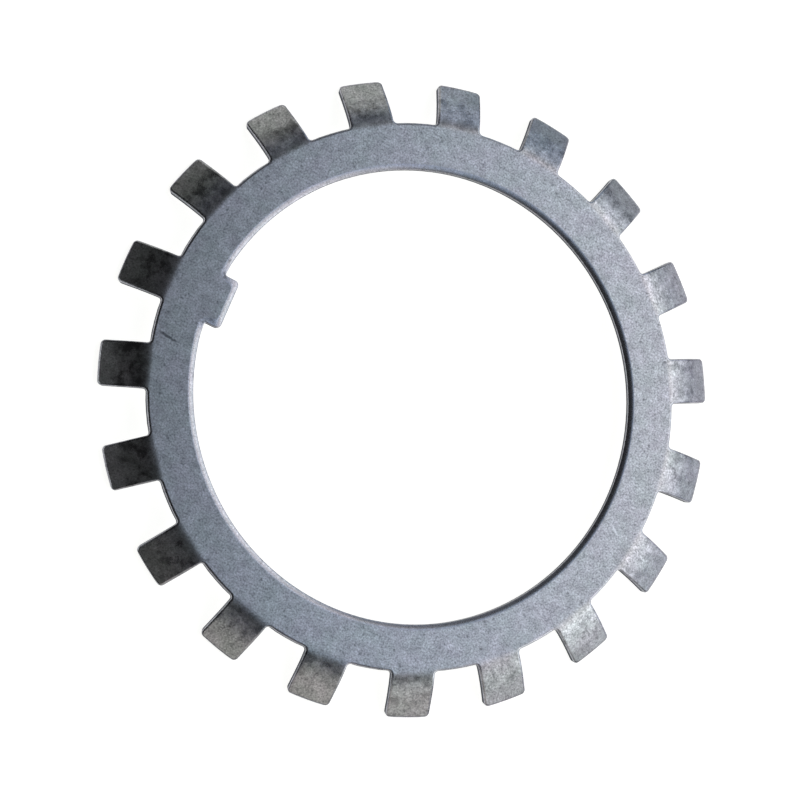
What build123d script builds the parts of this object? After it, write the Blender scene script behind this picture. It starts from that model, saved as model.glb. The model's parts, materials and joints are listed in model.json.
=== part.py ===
from build123d import *
import os
from collections import Counter
from math import cos, hypot, radians, sin, tan

# Tab lock washer, punched and formed from one piece of sheet steel.
# Origin on the bore axis, in the plane of the flat bearing-side face. +Z points out of that face.
# The key tab points inwards from +X. The outer tabs bend down, away from the bearing side.

# Ring, in millimetres
bore_diameter = 110.0
ring_width = 11.5
sheet_thickness = 1.75

# Outer tabs, one of them in line with the key tab
tab_count = 19
tab_width = 11.0
tab_length = 12.15
tab_angle = 25.0
bend_radius = 6.0
tab_root_radius = 0.9
tab_face_corner_radius = 0.6

# Key tab, which stands into the bore and stays flat
key_width = 12.4
key_depth = 4.5
key_root_radius = 0.7
key_face_corner_radius = 0.7

# Edges that the punch rolled over on the bearing side
rolled_edge_radius = 0.5

# Sizes that follow
bore_radius = bore_diameter / 2
ring_radius = bore_radius + ring_width
key_corner_radius = rolled_edge_radius + key_face_corner_radius
tab_corner_radius = rolled_edge_radius + tab_face_corner_radius

# The bend is centred on the ring's outer edge, so it takes as much from the ring as from the tab
outer_bend_radius = bend_radius + sheet_thickness
bend_setback = outer_bend_radius * tan(radians(tab_angle) / 2)
down_slope = Vector(cos(radians(tab_angle)), -sin(radians(tab_angle)))
through_sheet = Vector(-sin(radians(tab_angle)), -cos(radians(tab_angle))) * sheet_thickness
tip_radius = ring_radius + tab_length * down_slope.X

# Size of the cutting tools, well past the washer on all sides
tool_size = 2 * tip_radius


def distance_from_axis(shape):
    """Distance of a shape's centre from the bore axis."""
    return hypot(shape.center().X, shape.center().Y)


def bearing_side_outline(part):
    """Edges where the bearing side ends: each of them borders only one of the faces that look up."""
    upper_edges = part.faces().filter_by(lambda face: face.normal_at().Z > 0).edges()
    borders = Counter(upper_edges)
    return upper_edges.filter_by(lambda edge: borders[edge] == 1)


with BuildPart() as lock_washer:
    # Blank, bent at the ring's edge all the way round: half its section, turned about the bore axis
    with BuildSketch(Plane.XZ):
        with BuildLine():
            bearing_side = Line((0, 0), (ring_radius - bend_setback, 0))
            bearing_bend = JernArc(bearing_side @ 1, bearing_side % 1, outer_bend_radius, -tab_angle)
            bearing_slope = Line(bearing_bend @ 1, Vector(ring_radius, 0) + down_slope * tab_length)
            tip = Line(bearing_slope @ 1, (bearing_slope @ 1) + through_sheet)
            nut_slope = Line(tip @ 1, (bearing_bend @ 1) + through_sheet)
            nut_bend = JernArc(nut_slope @ 1, nut_slope % 1, bend_radius, tab_angle)
            nut_side = Line(nut_bend @ 1, (0, -sheet_thickness))
            Line(nut_side @ 1, bearing_side @ 0)
        make_face()
    revolve(axis=Axis.Z)

    # Gaps that leave the outer tabs standing, with parallel flanks and rounded roots
    with BuildSketch() as gaps:
        Circle(tool_size)
        Circle(ring_radius, mode=Mode.SUBTRACT)
        with PolarLocations(0, tab_count):
            Rectangle(2 * tool_size, tab_width, align=(Align.MIN, Align.CENTER), mode=Mode.SUBTRACT)
        fillet(gaps.vertices().group_by(SortBy.DISTANCE)[0], tab_root_radius)
    extrude(amount=tool_size, both=True, mode=Mode.SUBTRACT)

    # Rounded corners at the tip of each tab: the short edges that run through the sheet there
    tab_middle = (ring_radius + tip_radius) / 2
    tip_corners = lock_washer.edges().filter_by(
        lambda edge: edge.length < 2 * sheet_thickness and distance_from_axis(edge) > tab_middle
    )
    fillet(tip_corners, tab_corner_radius)

    # Bore, with the key tab left standing in it
    with BuildSketch() as bore:
        Circle(bore_radius)
        with Locations((bore_radius - key_depth, 0)):
            Rectangle(2 * key_depth, key_width, align=(Align.MIN, Align.CENTER), mode=Mode.SUBTRACT)
        fillet(bore.vertices().group_by(SortBy.DISTANCE)[0], key_corner_radius)
        fillet(bore.vertices().group_by(SortBy.DISTANCE)[-1], key_root_radius)
    extrude(amount=tool_size, both=True, mode=Mode.SUBTRACT)

    # Edges rolled over by the punch, on the bearing side only: the nut side keeps its sharp edges
    fillet(bearing_side_outline(lock_washer), rolled_edge_radius)
lock_washer.part.label = "lock_washer"

os.makedirs("parts", exist_ok=True)
export_step(lock_washer.part, "parts/lock_washer.step")
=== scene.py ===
"""Looks of a tab lock washer, punched and formed from one piece of sheet steel.

The mesh is worked in millimetres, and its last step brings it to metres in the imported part's own frame:
+Z out of the flat bearing side, the key tab on +X, the outer tabs bent towards -Z.
"""

import json
import logging
import math
import random
from collections.abc import Callable, Sequence
from dataclasses import dataclass
from enum import Enum
from itertools import pairwise

import bmesh
import bpy
from mathutils import Matrix, Vector


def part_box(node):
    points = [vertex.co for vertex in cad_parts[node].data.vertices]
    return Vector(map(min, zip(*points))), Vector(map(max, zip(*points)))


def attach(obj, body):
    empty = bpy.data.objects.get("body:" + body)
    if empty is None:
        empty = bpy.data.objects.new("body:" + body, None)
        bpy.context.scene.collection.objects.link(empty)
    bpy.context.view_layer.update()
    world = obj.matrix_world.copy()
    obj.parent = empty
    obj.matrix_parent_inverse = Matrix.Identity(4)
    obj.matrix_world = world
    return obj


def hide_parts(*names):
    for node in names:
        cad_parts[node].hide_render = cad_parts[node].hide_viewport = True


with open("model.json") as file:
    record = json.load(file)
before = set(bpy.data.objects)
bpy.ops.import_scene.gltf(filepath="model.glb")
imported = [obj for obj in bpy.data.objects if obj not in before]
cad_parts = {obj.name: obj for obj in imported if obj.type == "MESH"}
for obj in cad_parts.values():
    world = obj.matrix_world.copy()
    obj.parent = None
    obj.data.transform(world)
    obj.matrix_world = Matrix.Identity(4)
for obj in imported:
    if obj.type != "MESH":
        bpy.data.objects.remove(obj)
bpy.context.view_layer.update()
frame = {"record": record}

NODE = "lock_washer"
BODY = "root"
METRES_PER_MM = 0.001
# Distance, in millimetres, within which two places of the mesh count as one
NEAR = 0.01
# How far a face's normal points up: more than LEVEL on flat faces, and more than STEEP on rolled edges
LEVEL = 0.998
STEEP = 0.5
# How far it points up or down at most on a cut wall
UPRIGHT = 0.1
# Least angles between faces, in degrees: at a corner of the outline, and where a wall starts
CORNER_FOLD = 45
WALL_FOLD = 50
# Values that Blender's noise seldom leaves
NOISE_LOW = 0.3
NOISE_HIGH = 0.7
LOG = logging.getLogger(NODE)


class Part(Enum):
    """What a selection is made of: its list in the mesh, and Blender's name for that select mode."""

    CORNERS = ("verts", "VERT")
    EDGES = ("edges", "EDGE")
    FACES = ("faces", "FACE")


def select(part: Part, wanted: Callable[..., bool]) -> None:
    """Selects what passes a test in the mesh that is being edited, and nothing else.

    Args:
        part: Whether corners, edges or faces are tested.
        wanted: The test, which is given one of them.
    """
    kind, mode = part.value
    bpy.ops.mesh.select_mode(type=mode)
    bpy.ops.mesh.select_all(action="DESELECT")
    data = bpy.context.edit_object.data
    mesh = bmesh.from_edit_mesh(data)
    for each in getattr(mesh, kind):
        if not each.hide and wanted(each):
            each.select_set(True)
    mesh.select_flush_mode()
    bmesh.update_edit_mesh(data)


def radius(point: Vector) -> float:
    """Distance of a point from the bore axis."""
    return math.hypot(point.x, point.y)


def bearing(point: Vector) -> float:
    """Angle of a point round the bore axis from +X, in degrees, between -180 and 180."""
    return math.degrees(math.atan2(point.y, point.x))


def middle(edge: bmesh.types.BMEdge) -> Vector:
    """Middle of an edge."""
    return (edge.verts[0].co + edge.verts[1].co) / 2


def upright(edge: bmesh.types.BMEdge) -> bool:
    """Whether an edge runs straight through the sheet."""
    run = edge.verts[1].co - edge.verts[0].co
    return radius(run) < NEAR < abs(run.z)


def folded(edge: bmesh.types.BMEdge, least: float) -> bool:
    """Whether the faces beside an edge meet at more than an angle, in degrees."""
    return edge.is_manifold and edge.calc_face_angle() > math.radians(least)


@dataclass(frozen=True)
class RolledEdge:
    """Profile of an edge that the punch drew down: a curve that leaves the flat face without a step.

    Attributes:
        width: How far the curve reaches into the face, in millimetres.
        slope: How steep it is where the cut wall starts, in degrees.
        steps: How many rows of faces show it.
        ease: Power by which it falls off. With 2 it is a parabola, and nearer to 1 it starts more sharply.
        hold: Width of a flat row inside the curve, which keeps its shading off the rest of the face.
    """

    width: float
    slope: float
    steps: int
    ease: float = 1.6
    hold: float = 0.12

    def drop(self, inward: float) -> float:
        """How far the surface lies under the flat face, at a distance inwards from the outline."""
        full = self.width * math.tan(math.radians(self.slope)) / self.ease
        return full * (1 - inward / self.width) ** self.ease

    @property
    def depth(self) -> float:
        """Drop at the outline itself."""
        return self.drop(0)

    def form(self) -> None:
        """Insets the selected faces from the walls beside them, and lifts what is left at each step."""
        step = self.width / self.steps
        for before, after in pairwise(range(self.steps + 1)):
            bpy.ops.mesh.inset(thickness=step, use_boundary=False)
            rise = self.drop(before * step) - self.drop(min(after * step, self.width))
            bpy.ops.transform.translate(value=(0, 0, rise))
        bpy.ops.mesh.inset(thickness=self.hold, use_boundary=False)


@dataclass(frozen=True)
class Bend:
    """One bend across an outer tab, measured along the flat blank.

    Attributes:
        start: Distance of its near side from the bore axis, in millimetres.
        length: Its length along the blank.
        angle: How far it turns the rest of the tab down, in degrees.
        rows: How many rows of faces show it.
    """

    start: float
    length: float
    angle: float
    rows: int

    @property
    def cuts(self) -> list[float]:
        """Distances from the bore axis at which the blank is cut across."""
        return [self.start + self.length * row / self.rows for row in range(self.rows + 1)]


class Finish(Enum):
    """Material slots of the washer."""

    SHEET = 0
    # Both wall finishes are kept dark, partly as painted shade
    BURNISHED = 1
    TORN = 2
    DRAWN = 3


@dataclass
class LockWasher:
    """The whole washer as one closed mesh. Lengths are in millimetres and angles in degrees.

    Attributes:
        bore_radius: Radius of the bore's wall.
        sheet: Thickness of the sheet.
        key_end: Distance of the key tab's end from the bore axis.
        ring_radius: Radius of the ring's outline between the outer tabs.
        tab_count: How many outer tabs there are.
        tab_width: Width of an outer tab.
        tab_flat_end: Distance of its end from the bore axis, while it is flat.
        tab_root_radius: Radius of the corners where it leaves the ring.
        tab_corner_radius: Radius of its outer corners.
        key_width: Width of the key tab.
        key_root_radius: Radius of the corners where it leaves the bore.
        key_corner_bevel: How far the rounding of its outer corners reaches.
        key_fade: How far from the corners at its root the rolled edge fades.
        key_fade_to: Share of the rolled edge's depth that is left in those corners.
        edge_break: How far the break of each wall's edges reaches.
        break_rows: How many rows of faces show it.
        tear_height: Height at which the walls change from burnished by the punch to torn.
        bore_edge: Rolled edge of the bore and the key tab.
        rim_edge: Rolled edge of the ring's outline and the outer tabs.
        bends: Bends of a tab. The outermost comes first, so that each finds its own part still flat.
        flat_to: Place of a row in front of the bends, which keeps their shading off the flat ring.
        bend_fade: Distance from a tab's flank over which the ring is drawn down with it, less and less.
        bend_spread: How much less than its full bends a tab is bent at most. No two tabs are quite alike.
        bend_seed: Seed for that.
        steps_per_tab: Steps of the circle from one outer tab to the next, of which the tab takes half.
        key_steps: Steps of the circle that the key tab takes.
        seam_radius: Radius of the circle on which the two bands of the ring meet.
        outer_rows: Radii of the rows of faces between that circle and the ring's outline.
        inner_rows: Radii of the rows of faces between that circle and the bore.
        corner_rows: How many rows of faces show a rounded corner.
        smooth_to: Angle between two faces up to which their shading runs on.
    """

    bore_radius: float
    sheet: float
    key_end: float
    ring_radius: float = 66.5
    tab_count: int = 19
    tab_width: float = 11.0
    tab_flat_end: float = 78.72
    tab_root_radius: float = 0.9
    tab_corner_radius: float = 1.1
    key_width: float = 12.4
    key_root_radius: float = 0.7
    key_corner_bevel: float = 0.95
    key_fade: float = 2.6
    key_fade_to: float = 0.1
    edge_break: float = 0.2
    break_rows: int = 2
    tear_height: float = -1.2
    bore_edge: RolledEdge = RolledEdge(width=1.5, slope=25, steps=5)
    rim_edge: RolledEdge = RolledEdge(width=0.55, slope=30, steps=3)
    bends: Sequence[Bend] = (
        Bend(start=71.0, length=4.0, angle=5.5, rows=4),
        Bend(start=68.5, length=2.5, angle=5.8, rows=3),
        Bend(start=66.9, length=1.6, angle=8.5, rows=3),
        Bend(start=65.5, length=1.4, angle=11.0, rows=4),
    )
    flat_to: float = 65.1
    bend_fade: float = 1.8
    bend_spread: float = 0.7
    bend_seed: int = 5
    steps_per_tab: int = 8
    key_steps: int = 6
    seam_radius: float = 60.0
    outer_rows: Sequence[float] = (62.2, 64.3)
    inner_rows: Sequence[float] = (58.7, 57.4)
    corner_rows: int = 5
    smooth_to: float = 35.0

    @property
    def pitch(self) -> float:
        """Angle from one outer tab to the next."""
        return 360 / self.tab_count

    @property
    def key_bearing(self) -> float:
        """Bearing of the key tab's flanks where they leave the bore, before the key tab has its width."""
        return self.pitch * self.key_steps / self.steps_per_tab / 2

    @property
    def tab_bearing(self) -> float:
        """Bearing of the first outer tab's flanks where they leave the ring, before it has its width."""
        return self.pitch / 4

    def at_tab_root(self, vert: bmesh.types.BMVert) -> bool:
        """Whether a corner is on the line across the first outer tab's root."""
        inside = abs(bearing(vert.co)) < self.tab_bearing + 2 * NEAR
        return inside and abs(radius(vert.co) - self.ring_radius) < 2 * NEAR

    def on_key(self, vert: bmesh.types.BMVert) -> bool:
        """Whether a corner is on the key tab's outline or on the line across its root."""
        return abs(bearing(vert.co)) < self.key_bearing + NEAR and radius(vert.co) < self.bore_radius + NEAR

    def on_key_mitre(self, vert: bmesh.types.BMVert) -> bool:
        """Finds the mitre lines across the rolled edge at the key tab's outer corners.

        Args:
            vert: A corner of the mesh.

        Returns:
            Whether it is on one of them.
        """
        inward = vert.co.x - self.key_end
        aside = self.key_width / 2 - abs(vert.co.y)
        reach = self.bore_edge.width + self.bore_edge.hold
        return abs(inward - aside) < 5 * NEAR and -NEAR < inward < reach + 5 * NEAR

    def circle(self) -> bpy.types.Object:
        """Adds the circle on which the two bands of the washer meet.

        Returns:
            Its object, open for editing.
        """
        bpy.ops.object.select_all(action="DESELECT")
        steps = self.tab_count * self.steps_per_tab
        bpy.ops.mesh.primitive_circle_add(vertices=steps, radius=self.seam_radius)
        bpy.ops.object.mode_set(mode="EDIT")
        bpy.ops.mesh.select_mode(type="EDGE")
        bpy.ops.mesh.select_all(action="SELECT")
        return bpy.context.edit_object

    @staticmethod
    def grow(radii: Sequence[float]) -> None:
        """Extrudes the selected arc or circle to further radii in turn.

        Args:
            radii: Its own radius, and then the others.
        """
        for inner, outer in pairwise(radii):
            bpy.ops.mesh.extrude_edges_move()
            bpy.ops.transform.resize(value=(outer / inner, outer / inner, 1), center_override=(0, 0, 0))

    def thicken(self, edge: RolledEdge) -> None:
        """Gives the flat band its thickness, with the top left low for its rolled edge to lift.

        Args:
            edge: The band's rolled edge.
        """
        bpy.ops.mesh.select_all(action="SELECT")
        bpy.ops.transform.translate(value=(0, 0, -edge.depth))
        bpy.ops.mesh.extrude_region_move(TRANSFORM_OT_translate={"value": (0, 0, edge.depth - self.sheet)})
        seam = self.seam_radius
        select(Part.FACES, lambda face: all(abs(radius(vert.co) - seam) < NEAR for vert in face.verts))
        bpy.ops.mesh.delete(type="FACE")
        bpy.ops.mesh.select_all(action="SELECT")
        bpy.ops.mesh.normals_make_consistent(inside=False)

    def round_corners(self, size: float, wanted: Callable[[Vector], bool]) -> None:
        """Rounds the corners of the outline that pass a test.

        Args:
            size: How far the rounding reaches.
            wanted: The test, which is given a corner's place.
        """
        select(
            Part.EDGES,
            lambda edge: upright(edge) and folded(edge, CORNER_FOLD) and wanted(middle(edge)),
        )
        bpy.ops.mesh.bevel(offset_type="OFFSET", offset=size, segments=self.corner_rows, affect="EDGES")

    @staticmethod
    def roll_edge(edge: RolledEdge) -> None:
        """Rolls the outline of the bearing side over."""
        select(Part.FACES, lambda face: face.normal.z > LEVEL)
        edge.form()

    def outer_band(self) -> bpy.types.Object:
        """Makes the ring outside the seam, with all its tabs still flat.

        Returns:
            Its object.
        """
        band = self.circle()
        select(Part.CORNERS, lambda vert: abs(bearing(vert.co)) > self.pitch / 2 + NEAR)
        bpy.ops.mesh.delete(type="VERT")
        bpy.ops.mesh.select_mode(type="EDGE")
        bpy.ops.mesh.select_all(action="SELECT")
        self.grow((self.seam_radius, *self.outer_rows, self.ring_radius))

        select(Part.EDGES, lambda edge: all(self.at_tab_root(vert) for vert in edge.verts))
        half_chord = self.ring_radius * math.sin(math.radians(self.tab_bearing))
        bpy.ops.transform.resize(value=(1, self.tab_width / 2 / half_chord, 1), center_override=(0, 0, 0))
        reach = self.tab_flat_end - self.ring_radius
        bpy.ops.mesh.extrude_edges_move(TRANSFORM_OT_translate={"value": (reach, 0, 0)})
        # Lines inside the blank go from its root, which leaves clean corners and room for the bends
        select(
            Part.EDGES,
            lambda edge: not edge.is_boundary and any(self.at_tab_root(vert) for vert in edge.verts),
        )
        bpy.ops.mesh.dissolve_edges(use_verts=False)

        bpy.ops.mesh.select_all(action="SELECT")
        copies = self.tab_count - 1
        turn = math.radians(self.pitch) * copies
        bpy.ops.mesh.spin(steps=copies, dupli=True, angle=turn, center=(0, 0, 0), axis=(0, 0, 1))
        bpy.ops.mesh.select_all(action="SELECT")
        bpy.ops.mesh.remove_doubles(threshold=NEAR)

        self.thicken(self.rim_edge)
        between = (self.ring_radius + self.tab_flat_end) / 2
        self.round_corners(self.tab_root_radius, lambda place: radius(place) < between)
        self.round_corners(self.tab_corner_radius, lambda place: radius(place) > between)
        self.roll_edge(self.rim_edge)
        bpy.ops.object.mode_set(mode="OBJECT")
        return band

    def inner_band(self) -> bpy.types.Object:
        """Makes the ring inside the seam, with the key tab standing in the bore.

        Returns:
            Its object.
        """
        band = self.circle()
        self.grow((self.seam_radius, *self.inner_rows, self.bore_radius))
        select(Part.EDGES, lambda edge: all(self.on_key(vert) for vert in edge.verts))
        squeeze = self.key_width / 2 / (self.bore_radius * math.sin(math.radians(self.key_bearing)))
        bpy.ops.transform.resize(value=(1, squeeze, 1), center_override=(0, 0, 0))
        reach = self.key_end - self.bore_radius
        bpy.ops.mesh.extrude_edges_move(TRANSFORM_OT_translate={"value": (reach, 0, 0)})
        bpy.ops.transform.resize(value=(0, 1, 1), center_override=(self.key_end, 0, 0))
        # Lines inside the blank go where the rolled edge will need their room
        step = math.radians(self.pitch / self.steps_per_tab)
        kept = self.bore_radius * math.sin(step) * squeeze + NEAR
        select(
            Part.EDGES,
            lambda edge: not edge.is_boundary
            and any(self.on_key(vert) and abs(vert.co.y) > kept for vert in edge.verts),
        )
        bpy.ops.mesh.dissolve_edges(use_verts=False)
        select(
            Part.CORNERS,
            lambda vert: abs(vert.co.x - self.key_end) < NEAR
            and kept < abs(vert.co.y) < self.key_width / 2 - NEAR,
        )
        bpy.ops.mesh.dissolve_verts()

        self.thicken(self.bore_edge)
        near_root = (self.bore_radius + self.key_end) / 2
        self.round_corners(self.key_root_radius, lambda place: radius(place) > near_root)
        self.roll_edge(self.bore_edge)
        self.fade_key_roots()
        self.round_key_end()
        bpy.ops.object.mode_set(mode="OBJECT")
        return band

    def fade_key_roots(self) -> None:
        """Lets the rolled edge fade at the key tab's root, where the sheet couldn't be drawn down."""
        select(Part.FACES, lambda face: face.normal.z < STEEP)
        bpy.ops.mesh.hide()
        lowest = -self.bore_edge.depth + NEAR
        flank = self.key_width / 2
        select(
            Part.CORNERS,
            lambda vert: vert.co.z < lowest
            and flank - NEAR < abs(vert.co.y) < flank + self.key_root_radius + NEAR
            and vert.co.x > self.bore_radius - 2 * self.key_root_radius,
        )
        bpy.ops.transform.resize(
            value=(1, 1, self.key_fade_to),
            center_override=(0, 0, 0),
            use_proportional_edit=True,
            proportional_edit_falloff="SMOOTH",
            proportional_size=self.key_fade,
        )
        bpy.ops.mesh.reveal(select=False)

    def round_key_end(self) -> None:
        """Rounds the key tab's two outer corners, all the way across the rolled edge."""
        bottom = NEAR - self.sheet
        select(
            Part.EDGES,
            lambda edge: all(self.on_key_mitre(vert) for vert in edge.verts) and middle(edge).z > bottom,
        )
        bpy.ops.mesh.bevel(
            offset_type="OFFSET", offset=self.key_corner_bevel, segments=self.corner_rows, affect="EDGES"
        )

    def join_bands(self, outer: bpy.types.Object, inner: bpy.types.Object) -> None:
        """Joins the two bands along the seam, and leaves the whole washer open for editing.

        Args:
            outer: The outer band.
            inner: The inner band, whose object becomes the washer's.
        """
        bpy.ops.object.select_all(action="DESELECT")
        outer.select_set(True)
        inner.select_set(True)
        bpy.context.view_layer.objects.active = inner
        bpy.ops.object.join()
        bpy.ops.object.mode_set(mode="EDIT")
        select(Part.CORNERS, lambda vert: abs(radius(vert.co) - self.seam_radius) < NEAR)
        bpy.ops.mesh.remove_doubles(threshold=NEAR)
        bpy.ops.mesh.select_all(action="SELECT")
        bpy.ops.mesh.normals_make_consistent(inside=False)

    def mark_walls(self, washer: bpy.types.Object) -> None:
        """Parts the cut walls into what the punch burnished and what tore, and gives each its finish.

        Args:
            washer: The washer, open for editing.
        """
        bpy.ops.mesh.select_all(action="SELECT")
        bpy.ops.mesh.bisect(plane_co=(0, 0, self.tear_height), plane_no=(0, 0, 1))
        for finish, side in ((Finish.BURNISHED, 1), (Finish.TORN, -1)):
            select(
                Part.FACES,
                lambda face: abs(face.normal.z) < UPRIGHT
                and (face.calc_center_median().z - self.tear_height) * side > 0,
            )
            washer.active_material_index = finish.value
            bpy.ops.object.material_slot_assign()

    @staticmethod
    def mark_rolls(washer: bpy.types.Object) -> None:
        """Gives the rolled edges their finish, while all but them and the walls still lies flat.

        Args:
            washer: The washer, open for editing.
        """
        select(Part.FACES, lambda face: STEEP < face.normal.z < LEVEL)
        washer.active_material_index = Finish.DRAWN.value
        bpy.ops.object.material_slot_assign()

    def break_edges(self) -> None:
        """Breaks the walls' edges, as tumbling does. The upper ones turn bright, the lower ones dull and
        dark with the torn wall's finish, which is partly painted shade.
        """
        for finish, side in ((Finish.DRAWN, 1), (Finish.TORN, -1)):
            select(
                Part.EDGES,
                lambda edge: not upright(edge)
                and folded(edge, WALL_FOLD)
                and (middle(edge).z - self.tear_height) * side > 0,
            )
            bpy.ops.mesh.bevel(
                offset_type="OFFSET",
                offset=self.edge_break,
                segments=self.break_rows,
                affect="EDGES",
                material=finish.value,
            )

    def cut_tabs(self) -> None:
        """Cuts rows across each tab, on which it is bent."""
        for number in range(self.tab_count):
            along = Matrix.Rotation(math.radians(self.pitch) * number, 3, "Z") @ Vector((1, 0, 0))
            across = Vector((-along.y, along.x, 0))
            half = self.tab_width / 2 + self.bend_fade
            select(
                Part.FACES,
                lambda face: abs(face.calc_center_median().dot(across)) < half
                and face.calc_center_median().dot(along) > self.seam_radius,
            )
            bpy.ops.mesh.hide(unselected=True)
            for cut in (self.flat_to, *(cut for bend in self.bends for cut in bend.cuts)):
                bpy.ops.mesh.select_all(action="SELECT")
                bpy.ops.mesh.bisect(plane_co=along * cut, plane_no=along, threshold=NEAR)
            bpy.ops.mesh.reveal(select=False)

    def bend_tabs(self, washer: bpy.types.Object) -> None:
        """Bends each tab down, from its outer end inwards.

        Args:
            washer: The washer, with the rows cut across its tabs.
        """
        chance = random.Random(self.bend_seed)
        for number in range(self.tab_count):
            turned = Matrix.Rotation(math.radians(self.pitch) * number, 4, "Z")
            along = turned.to_3x3() @ Vector((1, 0, 0))
            across = Vector((-along.y, along.x, 0))
            group = washer.vertex_groups.new(name="tab")
            for vert in washer.data.vertices:
                past = abs(vert.co.dot(across)) - self.tab_width / 2
                fade = min(max(1 - past / self.bend_fade, 0), 1)
                if vert.co.dot(along) > 0 and fade > 0:
                    group.add([vert.index], fade * fade * (3 - 2 * fade), "REPLACE")
            less = chance.uniform(0, self.bend_spread) / len(self.bends)
            for bend in self.bends:
                self.bend_tab(washer, bend, turned, bend.angle - less)
            washer.vertex_groups.clear()

    @staticmethod
    def bend_tab(washer: bpy.types.Object, bend: Bend, turned: Matrix, angle: float) -> None:
        """Puts one bend into one tab.

        Args:
            washer: The washer, with the tab's vertex group.
            bend: The bend.
            turned: How far the tab is turned from +X about the bore axis.
            angle: How far this bend goes here, in degrees.
        """
        # The modifier bends its own X towards its own Y, so Y points down through the sheet
        start = bpy.data.objects.new("bend_start", None)
        bpy.context.collection.objects.link(start)
        down = Matrix.Rotation(math.radians(-90), 4, "X")
        start.matrix_world = turned @ Matrix.Translation((bend.start, 0, 0)) @ down
        bpy.context.view_layer.update()
        inverse = start.matrix_world.inverted()
        places = [(inverse @ vert.co).x for vert in washer.data.vertices]
        low, high = min(places), max(places)
        modifier = washer.modifiers.new("bend", "SIMPLE_DEFORM")
        modifier.deform_method = "BEND"
        modifier.deform_axis = "Z"
        modifier.origin = start
        modifier.angle = math.radians(angle)
        modifier.limits = (-low / (high - low), (bend.length - low) / (high - low))
        modifier.vertex_group = "tab"
        bpy.ops.object.modifier_apply(modifier=modifier.name)
        bpy.data.objects.remove(start)

    def build(self, finishes: Sequence[bpy.types.Material]) -> bpy.types.Object:
        """Models the washer.

        Args:
            finishes: Its materials, in the order of Finish.

        Returns:
            Its object, with its place in its mesh, in metres.
        """
        outer = self.outer_band()
        washer = self.inner_band()
        self.join_bands(outer, washer)
        for finish in finishes:
            washer.data.materials.append(finish)
        self.mark_walls(washer)
        self.mark_rolls(washer)
        self.break_edges()
        self.cut_tabs()
        bpy.ops.object.mode_set(mode="OBJECT")
        self.bend_tabs(washer)
        bpy.ops.object.mode_set(mode="EDIT")
        bpy.ops.mesh.select_all(action="SELECT")
        bpy.ops.transform.resize(value=(METRES_PER_MM,) * 3, center_override=(0, 0, 0))
        bpy.ops.object.mode_set(mode="OBJECT")
        bpy.ops.object.shade_smooth_by_angle(angle=math.radians(self.smooth_to))
        washer.name = washer.data.name = "stamped_washer"
        return washer


def linear(code: str) -> tuple[float, float, float, float]:
    """Turns an sRGB colour to linear.

    Args:
        code: Its hex code, such as "8A8F95".

    Returns:
        Its linear red, green and blue, and an alpha of 1.
    """
    shares = [int(code[place : place + 2], 16) / 255 for place in (0, 2, 4)]
    red, green, blue = (s / 12.92 if s <= 0.04045 else ((s + 0.055) / 1.055) ** 2.4 for s in shares)
    return red, green, blue, 1.0


def per_metre(size: float) -> float:
    """Scale of a pattern on coordinates in metres, from the size of its features in millimetres."""
    return 1 / (size * METRES_PER_MM)


def add_node(
    tree: bpy.types.NodeTree,
    kind: str,
    links: dict[str | int, bpy.types.NodeSocket] | None = None,
    inputs: dict[str | int, object] | None = None,
    **settings: object,
) -> bpy.types.Node:
    """Adds a shader node.

    Args:
        tree: The node tree that it goes into.
        kind: Blender's type name for it.
        links: Sockets that feed its inputs, by the input's name or number.
        inputs: Values of its other inputs, by their name or number.
        settings: Its other settings.

    Returns:
        The node.
    """
    node = tree.nodes.new(kind)
    for name, value in settings.items():
        setattr(node, name, value)
    for name, value in (inputs or {}).items():
        node.inputs[name].default_value = value
    for name, socket in (links or {}).items():
        tree.links.new(socket, node.inputs[name])
    return node


def new_tree(name: str) -> tuple[bpy.types.Material, bpy.types.NodeTree]:
    """Makes a material with an empty node tree.

    Args:
        name: Name of the material.

    Returns:
        The material and its node tree.
    """
    material = bpy.data.materials.new(name)
    material.use_nodes = True
    material.node_tree.nodes.clear()
    return material, material.node_tree


@dataclass(frozen=True)
class Scratch:
    """One fine scratch on the bearing side, strongest along its middle. Lengths are in millimetres.

    Attributes:
        start: Place of its one end, along X and Y.
        end: Place of its other end.
        width: Its width.
        strength: How far its colour covers the steel's, from 0 to 1.
        full_at: Share of the way in from its outline after which it has its full strength.
    """

    start: tuple[float, float]
    end: tuple[float, float]
    width: float
    strength: float
    full_at: float = 0.5

    def share(self, tree: bpy.types.NodeTree, place: bpy.types.NodeSocket) -> bpy.types.NodeSocket:
        """Adds the nodes that say where the scratch is.

        Args:
            tree: The material's node tree.
            place: The place on the washer, in metres.

        Returns:
            How far the scratch's colour covers the steel's there.
        """
        run = Vector(self.end) - Vector(self.start)
        centre = (Vector(self.end) + Vector(self.start)) / 2 * METRES_PER_MM
        half_size = Vector((run.length / 2, self.width / 2, self.width)) * METRES_PER_MM
        own = add_node(
            tree,
            "ShaderNodeMapping",
            {"Vector": place},
            {
                "Location": (centre.x, centre.y, 0.0),
                "Rotation": (0.0, 0.0, math.atan2(run.y, run.x)),
                "Scale": half_size,
            },
            vector_type="TEXTURE",
        )
        near = add_node(
            tree, "ShaderNodeTexGradient", {"Vector": own.outputs["Vector"]}, gradient_type="SPHERICAL"
        )
        covered = add_node(
            tree,
            "ShaderNodeMapRange",
            {"Value": near.outputs["Fac"]},
            {"From Max": self.full_at, "To Max": self.strength},
        )
        return covered.outputs["Result"]


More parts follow.
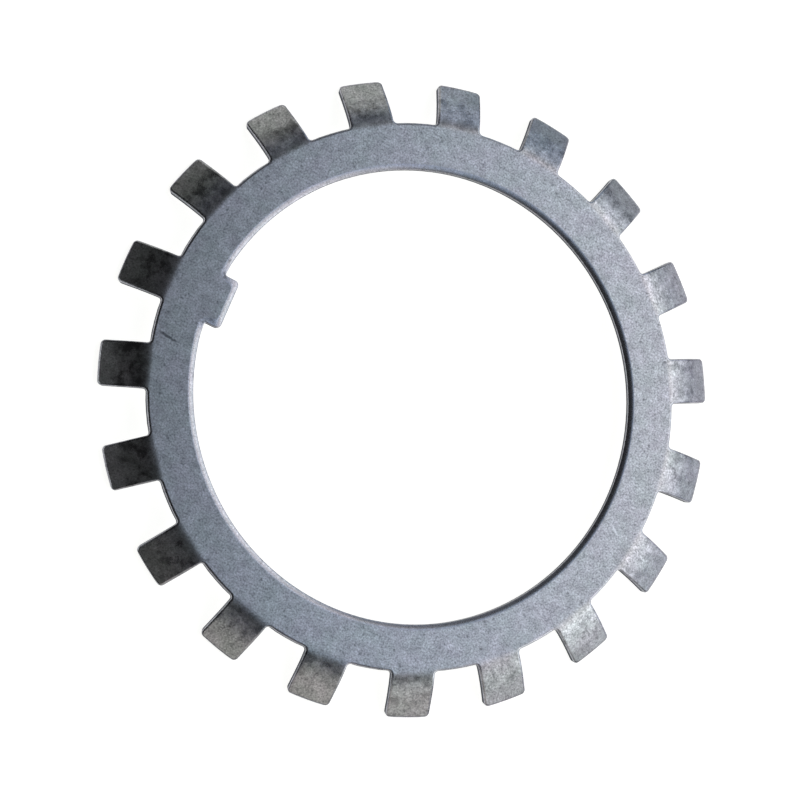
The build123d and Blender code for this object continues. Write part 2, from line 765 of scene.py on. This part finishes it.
@dataclass(frozen=True)
class TumbledSheet:
    """Cold-rolled low-carbon strip, tumbled after stamping.

    The stones leave a dull grey face with a fine, salt-and-pepper grain, faint teal and violet clouds and a
    few dark pits. The bending die leaves dark smears across the tabs. A faint dark line across them is
    painted shade for the crease in the outer bend. Sizes are in millimetres.

    Attributes:
        name: Name of the material.
        teal: Colour of the cooler clouds.
        violet: Colour of the warmer clouds.
        soot_and_shade: Colour in the pits, the smears, the dark scratch and the painted crease shade.
        bright: Colour in the light scratch.
        roughness: How dull the face is.
        roughness_spread: How much duller or less dull than the face the grains are.
        polish: How much less dull it is where the die has smeared it.
        grain: Size of the grain. At about two of the photo's pixels it is as coarse as the photo shows it.
        grain_contrast: How much darker or lighter than the face the grains are.
        grain_height: Height of the grain.
        wave: Length of the shallow waves that make the borders of the highlights uneven.
        wave_height: Height of those waves.
        pit: Spacing of the pits.
        pit_range: Values of the noise at which a pit starts and is full.
        pit_strength: How far the soot covers the steel in a full pit, from 0 to 1.
        blotch: Size of the soft lighter and darker blotches.
        blotch_contrast: How much lighter or darker than the face the blotches are.
        cloud: Size of the clouds.
        cloud_range: Values of the noise at which the clouds are all teal and all violet.
        smear: Size of the smears.
        smear_range: Values of the noise at which a smear starts and is full.
        smear_and_shade_strength: How far the soot of the smears and of the painted crease shade covers the
            steel at most, from 0 to 1.
        smeared_from: Distance from the bore axis at which the last of the smears begin.
        smeared_to: Distance at which they have thinned out.
        smear_border: Distance over which they begin. They thin out from this far before smeared_to.
        smear_rest: Share of them that is left beyond.
        crease_shade_line: Distance from the bore axis of the painted shade line in the crease of the outer
            bend.
        crease_shade_reach: How far to either side of its middle the line fades.
        crease_shade_strength: How dark its middle is, from 0 to 1.
        wander: How far the line and the borders of the smears stray to either side.
        waver: How far the scratches stray from a straight line, from side to side.
        dark_scratch: The dark scratch on the ring.
        light_scratch: The light one opposite it.
    """

    name: str = "tumbled_cold_rolled_steel"
    teal: str = "A8ABAD"
    violet: str = "ADABB1"
    soot_and_shade: str = "434448"
    bright: str = "DADCE0"
    roughness: float = 0.33
    roughness_spread: float = 0.05
    polish: float = 0.09
    grain: float = 0.45
    grain_contrast: float = 0.5
    grain_height: float = 0.003
    wave: float = 3.0
    wave_height: float = 0.015
    pit: float = 1.5
    pit_range: tuple[float, float] = (0.6, 0.8)
    pit_strength: float = 0.5
    blotch: float = 2.6
    blotch_contrast: float = 0.18
    cloud: float = 8.0
    cloud_range: tuple[float, float] = (0.35, 0.65)
    smear: float = 3.2
    smear_range: tuple[float, float] = (0.42, 0.64)
    smear_and_shade_strength: float = 0.55
    smeared_from: float = 67.0
    smeared_to: float = 76.0
    smear_border: float = 3.0
    smear_rest: float = 0.2
    crease_shade_line: float = 72.3
    crease_shade_reach: float = 0.6
    crease_shade_strength: float = 0.25
    wander: float = 1.0
    waver: float = 0.8
    dark_scratch: Scratch = Scratch(start=(64.3, 13.0), end=(57.7, 13.5), width=0.85, strength=0.7)
    light_scratch: Scratch = Scratch(start=(-58.4, 6.9), end=(-61.2, 9.4), width=0.6, strength=0.6)

    def pits(self, tree: bpy.types.NodeTree, place: bpy.types.NodeSocket) -> bpy.types.NodeSocket:
        """Adds the nodes for the pits.

        Args:
            tree: The material's node tree.
            place: The place on the washer, in metres.

        Returns:
            How far a pit's soot covers the steel there.
        """
        noise = add_node(
            tree,
            "ShaderNodeTexNoise",
            {"Vector": place},
            {"Scale": per_metre(self.pit), "Detail": 1.0, "Roughness": 0.6},
        )
        pitted = add_node(
            tree,
            "ShaderNodeMapRange",
            {"Value": noise.outputs["Fac"]},
            {
                "From Min": self.pit_range[0],
                "From Max": self.pit_range[1],
                "To Max": self.pit_strength,
            },
            interpolation_type="SMOOTHSTEP",
        )
        return pitted.outputs["Result"]

    def die_marks_and_crease_shade(self, tree: bpy.types.NodeTree, place: bpy.types.NodeSocket) -> bpy.types.NodeSocket:
        """Adds the nodes for the smears across the tabs and for the painted shade line in the crease of the
        outer bend.

        Args:
            tree: The material's node tree.
            place: The place on the washer, in metres.

        Returns:
            How strongly the die's smears and the painted crease shade mark it there, from 0 to 1.
        """
        noise = add_node(
            tree,
            "ShaderNodeTexNoise",
            {"Vector": place},
            {"Scale": per_metre(self.smear), "Detail": 5.0, "Roughness": 0.7},
        )
        smears = add_node(
            tree,
            "ShaderNodeMapRange",
            {"Value": noise.outputs["Fac"]},
            {"From Min": self.smear_range[0], "From Max": self.smear_range[1]},
            interpolation_type="SMOOTHSTEP",
        )
        flat = add_node(
            tree, "ShaderNodeVectorMath", {0: place}, {1: (1.0, 1.0, 0.0)}, operation="MULTIPLY"
        )
        reach = add_node(tree, "ShaderNodeVectorMath", {0: flat.outputs["Vector"]}, operation="LENGTH")
        # The noise adds between nothing and twice the wander, so what it adds on average is the wander
        uneven = add_node(
            tree,
            "ShaderNodeMath",
            {0: noise.outputs["Fac"], 2: reach.outputs["Value"]},
            {1: 2 * self.wander * METRES_PER_MM},
            operation="MULTIPLY_ADD",
        )
        begun = add_node(
            tree,
            "ShaderNodeMapRange",
            {"Value": uneven.outputs["Value"]},
            {
                "From Min": self.smeared_from * METRES_PER_MM,
                "From Max": (self.smeared_from + self.smear_border) * METRES_PER_MM,
            },
            interpolation_type="SMOOTHSTEP",
        )
        thinned = add_node(
            tree,
            "ShaderNodeMapRange",
            {"Value": uneven.outputs["Value"]},
            {
                "From Min": (self.smeared_to - self.smear_border) * METRES_PER_MM,
                "From Max": (self.smeared_to + self.wander) * METRES_PER_MM,
                "To Min": 1.0,
                "To Max": self.smear_rest,
            },
            interpolation_type="SMOOTHSTEP",
        )
        # Painted shade: a dark line along the crease in the outer bend
        off_crease_shade = add_node(
            tree,
            "ShaderNodeMath",
            {0: uneven.outputs["Value"]},
            {1: (self.crease_shade_line + self.wander) * METRES_PER_MM},
            operation="SUBTRACT",
        )
        apart = add_node(tree, "ShaderNodeMath", {0: off_crease_shade.outputs["Value"]}, operation="ABSOLUTE")
        line = add_node(
            tree,
            "ShaderNodeMapRange",
            {"Value": apart.outputs["Value"]},
            {
                "From Max": self.crease_shade_reach * METRES_PER_MM,
                "To Min": self.crease_shade_strength,
                "To Max": 0.0,
            },
        )
        marks_and_crease_shade = begun.outputs["Result"]
        for other, operation in ((thinned, "MULTIPLY"), (smears, "MULTIPLY"), (line, "MAXIMUM")):
            marks_and_crease_shade = add_node(
                tree, "ShaderNodeMath", {0: marks_and_crease_shade, 1: other.outputs["Result"]}, operation=operation
            ).outputs["Value"]
        return marks_and_crease_shade

    def wavering(self, tree: bpy.types.NodeTree, place: bpy.types.NodeSocket) -> bpy.types.NodeSocket:
        """Adds the nodes that move a place about by a little.

        Args:
            tree: The material's node tree.
            place: The place on the washer, in metres.

        Returns:
            Where it comes to be.
        """
        # One sway is three times as long as it is wide
        noise = add_node(
            tree,
            "ShaderNodeTexNoise",
            {"Vector": place},
            {"Scale": per_metre(3 * self.waver), "Detail": 2.0},
        )
        centred = add_node(
            tree,
            "ShaderNodeVectorMath",
            {0: noise.outputs["Color"]},
            {1: (0.5, 0.5, 0.5)},
            operation="SUBTRACT",
        )
        moved = add_node(
            tree,
            "ShaderNodeVectorMath",
            {0: centred.outputs["Vector"], 2: place},
            {1: (self.waver * METRES_PER_MM,) * 3},
            operation="MULTIPLY_ADD",
        )
        return moved.outputs["Vector"]

    def colour(
        self,
        tree: bpy.types.NodeTree,
        place: bpy.types.NodeSocket,
        grain: bpy.types.NodeSocket,
        marks_and_crease_shade: bpy.types.NodeSocket,
    ) -> bpy.types.NodeSocket:
        """Adds the nodes for the colour.

        Args:
            tree: The material's node tree.
            place: The place on the washer, in metres.
            grain: The grain there.
            marks_and_crease_shade: How strongly the die's smears and the painted crease shade mark it
                there.

        Returns:
            The colour there.
        """
        clouds = add_node(
            tree,
            "ShaderNodeTexNoise",
            {"Vector": place},
            {"Scale": per_metre(self.cloud), "Detail": 3.0, "Roughness": 0.6},
        )
        hue = add_node(
            tree,
            "ShaderNodeMapRange",
            {"Value": clouds.outputs["Fac"]},
            {"From Min": self.cloud_range[0], "From Max": self.cloud_range[1]},
        )
        colour = add_node(
            tree,
            "ShaderNodeMix",
            {"Factor": hue.outputs["Result"]},
            {6: linear(self.teal), 7: linear(self.violet)},
            data_type="RGBA",
        ).outputs[2]
        blotches = add_node(
            tree,
            "ShaderNodeTexNoise",
            {"Vector": place},
            {"Scale": per_metre(self.blotch), "Detail": 2.0, "Roughness": 0.6},
        ).outputs["Fac"]
        for pattern, contrast in ((grain, self.grain_contrast), (blotches, self.blotch_contrast)):
            shade = add_node(
                tree,
                "ShaderNodeMapRange",
                {"Value": pattern},
                {
                    "From Min": NOISE_LOW,
                    "From Max": NOISE_HIGH,
                    "To Min": 1 - contrast,
                    "To Max": 1 + contrast,
                },
            )
            colour = add_node(
                tree,
                "ShaderNodeVectorMath",
                {0: colour, "Scale": shade.outputs["Result"]},
                operation="SCALE",
            ).outputs["Vector"]
        # The soot of the smears, with the painted crease shade line
        sooted_and_shaded = add_node(
            tree, "ShaderNodeMath", {0: marks_and_crease_shade}, {1: self.smear_and_shade_strength}, operation="MULTIPLY"
        )
        wavering = self.wavering(tree, place)
        covers = (
            (self.pits(tree, place), self.soot_and_shade),
            (sooted_and_shaded.outputs["Value"], self.soot_and_shade),
            (self.dark_scratch.share(tree, wavering), self.soot_and_shade),
            (self.light_scratch.share(tree, wavering), self.bright),
        )
        for share, code in covers:
            colour = add_node(
                tree, "ShaderNodeMix", {"Factor": share, 6: colour}, {7: linear(code)}, data_type="RGBA"
            ).outputs[2]
        return colour

    def material(self) -> bpy.types.Material:
        """Makes the material.

        Returns:
            The material, ready for a slot of the washer.
        """
        material, tree = new_tree(self.name)
        place = add_node(tree, "ShaderNodeTexCoord").outputs["Object"]
        grain = add_node(
            tree,
            "ShaderNodeTexNoise",
            {"Vector": place},
            {"Scale": per_metre(self.grain), "Detail": 3.0, "Roughness": 0.65},
        ).outputs["Fac"]
        # The die's smears and the painted crease shade
        marks_and_crease_shade = self.die_marks_and_crease_shade(tree, place)
        dull = add_node(
            tree,
            "ShaderNodeMapRange",
            {"Value": grain},
            {
                "From Min": NOISE_LOW,
                "From Max": NOISE_HIGH,
                "To Min": self.roughness + self.roughness_spread,
                "To Max": self.roughness - self.roughness_spread,
            },
        )
        polished = add_node(
            tree,
            "ShaderNodeMath",
            {0: marks_and_crease_shade, 2: dull.outputs["Result"]},
            {1: -self.polish},
            operation="MULTIPLY_ADD",
        )
        waves = add_node(
            tree,
            "ShaderNodeTexNoise",
            {"Vector": place},
            {"Scale": per_metre(self.wave), "Detail": 1.0, "Roughness": 0.5},
        )
        wavy = add_node(
            tree,
            "ShaderNodeBump",
            {"Height": waves.outputs["Fac"]},
            {"Strength": 1.0, "Distance": self.wave_height * METRES_PER_MM},
        )
        bump = add_node(
            tree,
            "ShaderNodeBump",
            {"Height": grain, "Normal": wavy.outputs["Normal"]},
            {"Strength": 1.0, "Distance": self.grain_height * METRES_PER_MM},
        )
        shader = add_node(
            tree,
            "ShaderNodeBsdfPrincipled",
            {
                "Base Color": self.colour(tree, place, grain, marks_and_crease_shade),
                "Roughness": polished.outputs["Value"],
                "Normal": bump.outputs["Normal"],
            },
            {"Metallic": 1.0},
        )
        add_node(tree, "ShaderNodeOutputMaterial", {"Surface": shader.outputs["BSDF"]})
        return material


@dataclass(frozen=True)
class ShearedWall:
    """Steel as the punch leaves it on a cut wall, scored along the cut, and darkened with painted shade.

    Attributes:
        name: Name of the material.
        colour: Its colour, kept darker than the steel's own, which partly paints shade.
        edge_tint_and_shade: Its tint when seen along the wall. It darkens the wall there, partly as the
            scores shade one another and partly as painted shade for the shadowed floor that the wall would
            reflect.
        roughness: How dull it is.
        score_width: Width of one score, in millimetres.
        score_length: Its length through the sheet.
        score_depth: Its depth.
    """

    name: str
    colour: str
    edge_tint_and_shade: str
    roughness: float
    score_width: float
    score_length: float
    score_depth: float

    def material(self) -> bpy.types.Material:
        """Makes the material.

        Returns:
            The material, ready for a slot of the washer.
        """
        material, tree = new_tree(self.name)
        place = add_node(tree, "ShaderNodeTexCoord").outputs["Object"]
        drawn = add_node(
            tree,
            "ShaderNodeMapping",
            {"Vector": place},
            {"Scale": (1.0, 1.0, self.score_width / self.score_length)},
        )
        scores = add_node(
            tree,
            "ShaderNodeTexNoise",
            {"Vector": drawn.outputs["Vector"]},
            {"Scale": per_metre(self.score_width), "Detail": 2.0},
        )
        bump = add_node(
            tree,
            "ShaderNodeBump",
            {"Height": scores.outputs["Fac"]},
            {"Strength": 1.0, "Distance": self.score_depth * METRES_PER_MM},
        )
        shader = add_node(
            tree,
            "ShaderNodeBsdfPrincipled",
            {"Normal": bump.outputs["Normal"]},
            {
                "Base Color": linear(self.colour),
                "Metallic": 1.0,
                "Roughness": self.roughness,
                "Specular Tint": linear(self.edge_tint_and_shade),
            },
        )
        add_node(tree, "ShaderNodeOutputMaterial", {"Surface": shader.outputs["BSDF"]})
        return material


# The punch stretches the sheet over the rolled edges, which irons out much of their grain
DRAWN_EDGE = TumbledSheet(
    name="drawn_steel_edge",
    teal="A2A4A9",
    violet="A7A5AD",
    roughness=0.28,
    grain_contrast=0.25,
    wave_height=0.012,
    blotch_contrast=0.05,
)
# The punch rubs the upper part of the wall smooth and bright. Its colour and edge tint are still kept dark,
# as painted shade for the shadowed floor that it would reflect
BURNISHED_WALL_AND_SHADE = ShearedWall("burnished_steel_wall", "6E7074", "9A9CA0", 0.3, 0.2, 1.5, 0.01)
# Below that the sheet tears off, which leaves it dull, dark and coarse. Its near-black colour and edge tint
# go beyond that, as painted shade for the shadowed floor that it would reflect
TORN_WALL_AND_SHADE = ShearedWall("torn_steel_wall", "34353A", "141518", 0.55, 0.15, 0.3, 0.02)

# How far the washer is turned about its axis in the photo, from +X to the right
PHOTO_TURN = 156.05


@dataclass(frozen=True)
class PhotoCamera:
    """Camera that sees the washer as the photo does.

    Attributes:
        distance: Metres from the middle of the washer.
        lens: Focal length in millimetres, on a sensor 36 mm wide.
        lean: How far it stands to the left of the washer's axis, in degrees.
        nod: How far it stands below that axis, in degrees.
        shift: Shift that puts the washer where the photo has it.
    """

    distance: float = 0.990
    lens: float = 184.6
    lean: float = 17.61
    nod: float = -4.40
    shift: tuple[float, float] = (-0.0186, -0.0048)

    def add(self) -> None:
        """Adds the camera and makes it the scene's own."""
        data = bpy.data.cameras.new("photo_camera")
        data.lens = self.lens
        data.shift_x, data.shift_y = self.shift
        camera = bpy.data.objects.new("photo_camera", data)
        turned = Matrix.Rotation(math.radians(PHOTO_TURN), 4, "Z")
        leaned = Matrix.Rotation(math.radians(self.lean), 4, "Y")
        nodded = Matrix.Rotation(math.radians(self.nod), 4, "X")
        away = Matrix.Translation((0, 0, self.distance))
        camera.matrix_world = (nodded @ leaned @ turned).inverted() @ away
        bpy.context.collection.objects.link(camera)
        bpy.context.scene.camera = camera


@dataclass(frozen=True)
class SoftLight:
    """One rectangular studio light that faces the washer.

    Attributes:
        name: What it does.
        lean: Angle between it and the washer's axis, in degrees.
        bearing: Its place round the washer in the photo, in degrees counter-clockwise from the right.
        size: Its size across its bearing and along it, in metres.
        power: Its strength in watts.
        colour: Its colour.
        distance: Metres from the washer.
    """

    name: str
    lean: float
    bearing: float
    size: tuple[float, float]
    power: float
    colour: str
    distance: float = 0.70

    def add(self) -> None:
        """Adds the light."""
        data = bpy.data.lights.new(self.name, "AREA")
        data.shape = "RECTANGLE"
        data.size, data.size_y = self.size
        data.energy = self.power
        data.color = linear(self.colour)[:3]
        light = bpy.data.objects.new(self.name, data)
        turned = Matrix.Rotation(math.radians(self.bearing - PHOTO_TURN + 90), 4, "Z")
        leaned = Matrix.Rotation(math.radians(self.lean), 4, "X")
        light.matrix_world = turned @ leaned @ Matrix.Translation((0, 0, self.distance))
        bpy.context.collection.objects.link(light)


@dataclass(frozen=True)
class Studio:
    """Glowing white floor, soft lights and camera.

    Attributes:
        floor_size: Length of the floor's sides, in metres.
        floor_colour: Its colour.
        floor_roughness: How dull it is.
        floor_glow: Strength of its glow.
        glow_colour: Colour of its glow.
        air_light: Strength of the even light from all round.
        air_colour: Colour of that light.
        lights: The soft lights.
    """

    floor_size: float = 6.0
    floor_colour: str = "A0A0A0"
    floor_roughness: float = 0.8
    floor_glow: float = 0.92
    glow_colour: str = "FFFFFD"
    air_light: float = 0.02
    air_colour: str = "FFFFFF"
    lights: Sequence[SoftLight] = (
        SoftLight("key_high", 18, 352, (0.60, 0.20), 0.36, "CEE6FF"),
        SoftLight("key", 34, 0, (0.80, 0.30), 0.87, "FFFBFA"),
        SoftLight("key_low", 56, 0, (0.90, 0.40), 1.91, "F6FCFF"),
        SoftLight("key_skirt", 78, 0, (0.90, 0.20), 0.44, "E8EDFF"),
        SoftLight("upper_right", 65, 54, (0.40, 0.35), 0.37, "D8EBFF"),
        SoftLight("top_fill", 42, 86, (0.50, 0.20), 0.08, "E6EEFF"),
        SoftLight("top", 70, 94, (0.60, 0.25), 0.43, "FCFFF4"),
        SoftLight("left", 74, 180, (0.50, 0.20), 0.43, "FAFFFC"),
        SoftLight("bottom", 62, 262, (0.70, 0.35), 0.62, "FFFBF0"),
        SoftLight("bottom_fill", 42, 260, (0.50, 0.20), 0.06, "E6EEFF"),
        SoftLight("lower_right", 60, 310, (0.40, 0.35), 0.56, "FBFFFD"),
    )

    def add(self, floor_height: float) -> None:
        """Sets the studio up.

        Args:
            floor_height: Height of the floor, in metres.
        """
        bpy.ops.object.select_all(action="DESELECT")
        bpy.ops.mesh.primitive_plane_add(size=self.floor_size, location=(0, 0, floor_height))
        floor = bpy.context.object
        floor.name = "floor"
        # Opal acrylic lit from below shows an even white, and its own glow stands for that light
        acrylic, tree = new_tree("opal_acrylic")
        shader = add_node(
            tree,
            "ShaderNodeBsdfPrincipled",
            inputs={
                "Base Color": linear(self.floor_colour),
                "Roughness": self.floor_roughness,
                "Emission Color": linear(self.glow_colour),
                "Emission Strength": self.floor_glow,
            },
        )
        add_node(tree, "ShaderNodeOutputMaterial", {"Surface": shader.outputs["BSDF"]})
        floor.data.materials.append(acrylic)
        world = bpy.data.worlds.new("studio")
        world.use_nodes = True
        background = world.node_tree.nodes["Background"]
        background.inputs["Strength"].default_value = self.air_light
        background.inputs["Color"].default_value = linear(self.air_colour)
        bpy.context.scene.world = world
        bpy.context.scene.view_settings.view_transform = "Standard"
        for light in self.lights:
            light.add()
        PhotoCamera().add()


def main() -> None:
    """Builds and dresses the washer, then sets up the studio."""
    logging.basicConfig(level=logging.INFO, format="%(name)s: %(message)s")
    mounts = {mount["name"]: mount for mount in frame["record"]["mounts"]}
    bore = mounts["keyed_bore"]["dims"]
    key_end = mounts["key_tab"]["pos_m"][0] / METRES_PER_MM
    finishes = [finish.material() for finish in (TumbledSheet(), BURNISHED_WALL_AND_SHADE, TORN_WALL_AND_SHADE, DRAWN_EDGE)]
    washer = LockWasher(bore_radius=bore["r_mm"], sheet=bore["length_mm"], key_end=key_end).build(finishes)
    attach(washer, BODY)
    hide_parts(NODE)
    LOG.info("washer: %d faces", len(washer.data.polygons))
    Studio().add(floor_height=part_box(NODE)[0][2])


if __name__ == "__main__":
    main()
